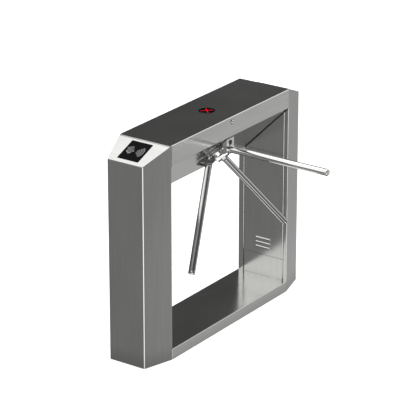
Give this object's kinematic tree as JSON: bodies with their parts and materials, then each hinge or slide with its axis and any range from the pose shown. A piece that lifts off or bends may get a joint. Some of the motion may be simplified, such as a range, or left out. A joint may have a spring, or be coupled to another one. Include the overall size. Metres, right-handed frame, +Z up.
{
  "type": "tripod turnstile",
  "caption": "Free-standing bridge cabinet in folded steel with a leaning three-arm rotor, sloping card readers, hinged lid and louvred service doors.",
  "frame": {"origin": "on the floor under the middle of the cabinet, on the underside of the foot across the plinth", "axes": "+X along the cabinet towards the far reader, -Y towards the passage that the arms close, +Z up"},
  "size_m": [1.2, 0.7662, 0.992],
  "materials": {
    "cabinet_steel": "fine brushed stainless sheet, 1.5 mm",
    "polished_steel": "mirror polished stainless tube and castings",
    "machined_steel": "turned and ground steel",
    "zinc_plate": "bright zinc plated steel plate",
    "black_plastic": "moulded black plastic",
    "smoked_acrylic": "dark polished acrylic",
    "brass": "turned brass",
    "grey_enamel": "grey enamel"
  },
  "bodies": {
    "cabinet": {"near_column_shell": "cabinet_steel", "near_base_plate": "zinc_plate", "near_lower_panel": "cabinet_steel", "near_upper_panel": "cabinet_steel", "near_door_pin": "machined_steel", "near_reader_panel": "cabinet_steel", "near_reader_window": "smoked_acrylic", "near_reader_module": "black_plastic", "far_column_shell": "cabinet_steel", "far_base_plate": "zinc_plate", "far_lower_panel": "cabinet_steel", "far_upper_panel": "cabinet_steel", "far_door_pin": "machined_steel", "far_reader_panel": "cabinet_steel", "far_reader_window": "smoked_acrylic", "far_reader_module": "black_plastic", "plinth": "cabinet_steel", "beam_shell": "cabinet_steel", "lid_hinge_pin": "machined_steel", "control_unit": "black_plastic", "power_supply": "zinc_plate", "mechanism_plate": "zinc_plate", "bearing_housing": "grey_enamel", "front_bearing": "machined_steel", "rear_bearing": "machined_steel", "rear_plate": "zinc_plate", "damper_body": "black_plastic", "count_sensor": "black_plastic", "left_solenoid": "grey_enamel", "right_solenoid": "grey_enamel"},
    "lid": {"top_lid": "cabinet_steel", "indicator_bezel": "black_plastic", "indicator_lens": "smoked_acrylic", "lid_lock_barrel": "polished_steel"},
    "lock_core": {"lid_lock_core": "brass"},
    "near_door": {"near_service_door": "cabinet_steel"},
    "far_door": {"far_service_door": "cabinet_steel"},
    "rotor": {"main_shaft": "machined_steel", "main_gear": "machined_steel", "ratchet_wheel": "machined_steel", "sensor_disc": "zinc_plate", "hub_disc": "polished_steel", "hub_head": "polished_steel", "arm_2_tube": "polished_steel", "arm_2_knuckle": "polished_steel", "arm_3_tube": "polished_steel", "arm_3_knuckle": "polished_steel", "arm_1_pivot_pin": "machined_steel", "arm_2_pivot_pin": "machined_steel", "arm_3_pivot_pin": "machined_steel"},
    "arm_1": {"arm_1_tube": "polished_steel", "arm_1_knuckle": "polished_steel"},
    "release_1": {"release_button_1": "black_plastic"},
    "release_2": {"release_button_2": "black_plastic"},
    "release_3": {"release_button_3": "black_plastic"},
    "damper_pinion": {"damper_pinion": "brass"},
    "left_pawl": {"left_pawl": "machined_steel"},
    "right_pawl": {"right_pawl": "machined_steel"},
    "left_plunger": {"left_plunger": "machined_steel"},
    "right_plunger": {"right_plunger": "machined_steel"}
  },
  "joints": [
    {"name": "rotor_spin", "type": "hinge", "parent": "cabinet", "child": "rotor", "pos_m": [0, -0.04902, 0.81602], "axis": [0, -0.7071, -0.7071], "continuous": true},
    {"name": "arm_1_drop", "type": "hinge", "parent": "rotor", "child": "arm_1", "pos_m": [0, -0.10524, 0.83779], "axis": [1, 0, 0], "range_deg": [0, 90]},
    {"name": "lid_open", "type": "hinge", "parent": "cabinet", "child": "lid", "pos_m": [0, 0.131, 0.986], "axis": [-1, 0, 0], "range_deg": [0, 90]},
    {"name": "lid_lock_turn", "type": "hinge", "parent": "lid", "child": "lock_core", "pos_m": [0, -0.135, 0.9666], "axis": [0, -1, 0], "range_deg": [0, 90]},
    {"name": "near_door_open", "type": "hinge", "parent": "cabinet", "child": "near_door", "pos_m": [-0.454, 0.0995, 0.156], "axis": [0, 0, 1], "range_deg": [0, 100]},
    {"name": "far_door_open", "type": "hinge", "parent": "cabinet", "child": "far_door", "pos_m": [0.454, 0.0995, 0.156], "axis": [0, 0, -1], "range_deg": [0, 100]},
    {"name": "release_1_press", "type": "slide", "parent": "rotor", "child": "release_1", "axis": [0, 1, 0], "range_m": [0, 0.003], "stiffness_N_per_m": 400, "springref_m": -0.001},
    {"name": "release_2_press", "type": "slide", "parent": "rotor", "child": "release_2", "axis": [0.6124, 0.25, 0.75], "range_m": [0, 0.003], "stiffness_N_per_m": 400, "springref_m": -0.001},
    {"name": "release_3_press", "type": "slide", "parent": "rotor", "child": "release_3", "axis": [-0.6124, 0.25, 0.75], "range_m": [0, 0.003], "stiffness_N_per_m": 400, "springref_m": -0.001},
    {"name": "damper_spin", "type": "hinge", "parent": "cabinet", "child": "damper_pinion", "pos_m": [0.0752, -0.00906, 0.85597], "axis": [0, -0.7071, -0.7071], "continuous": true},
    {"name": "left_pawl_turn", "type": "hinge", "parent": "cabinet", "child": "left_pawl", "pos_m": [-0.06, -0.02144, 0.90016], "axis": [0, -0.7071, -0.7071], "range_deg": [0, 10], "stiffness_Nm_per_rad": 0.3, "springref_deg": -8.59},
    {"name": "left_plunger_pull", "type": "slide", "parent": "cabinet", "child": "left_plunger", "axis": [0, 0.7071, -0.7071], "range_m": [0, 0.0045]},
    {"name": "right_pawl_turn", "type": "hinge", "parent": "cabinet", "child": "right_pawl", "pos_m": [0.06, -0.02144, 0.90016], "axis": [0, 0.7071, 0.7071], "range_deg": [0, 10], "stiffness_Nm_per_rad": 0.3, "springref_deg": -8.59},
    {"name": "right_plunger_pull", "type": "slide", "parent": "cabinet", "child": "right_plunger", "axis": [0, 0.7071, -0.7071], "range_m": [0, 0.0045]}
  ],
  "couplings": [
    {"joint": "damper_spin", "follows": "rotor_spin", "ratio": -4},
    {"joint": "left_plunger_pull", "follows": "left_pawl_turn", "m_per_rad": 0.025},
    {"joint": "right_plunger_pull", "follows": "right_pawl_turn", "m_per_rad": 0.025}
  ]
}
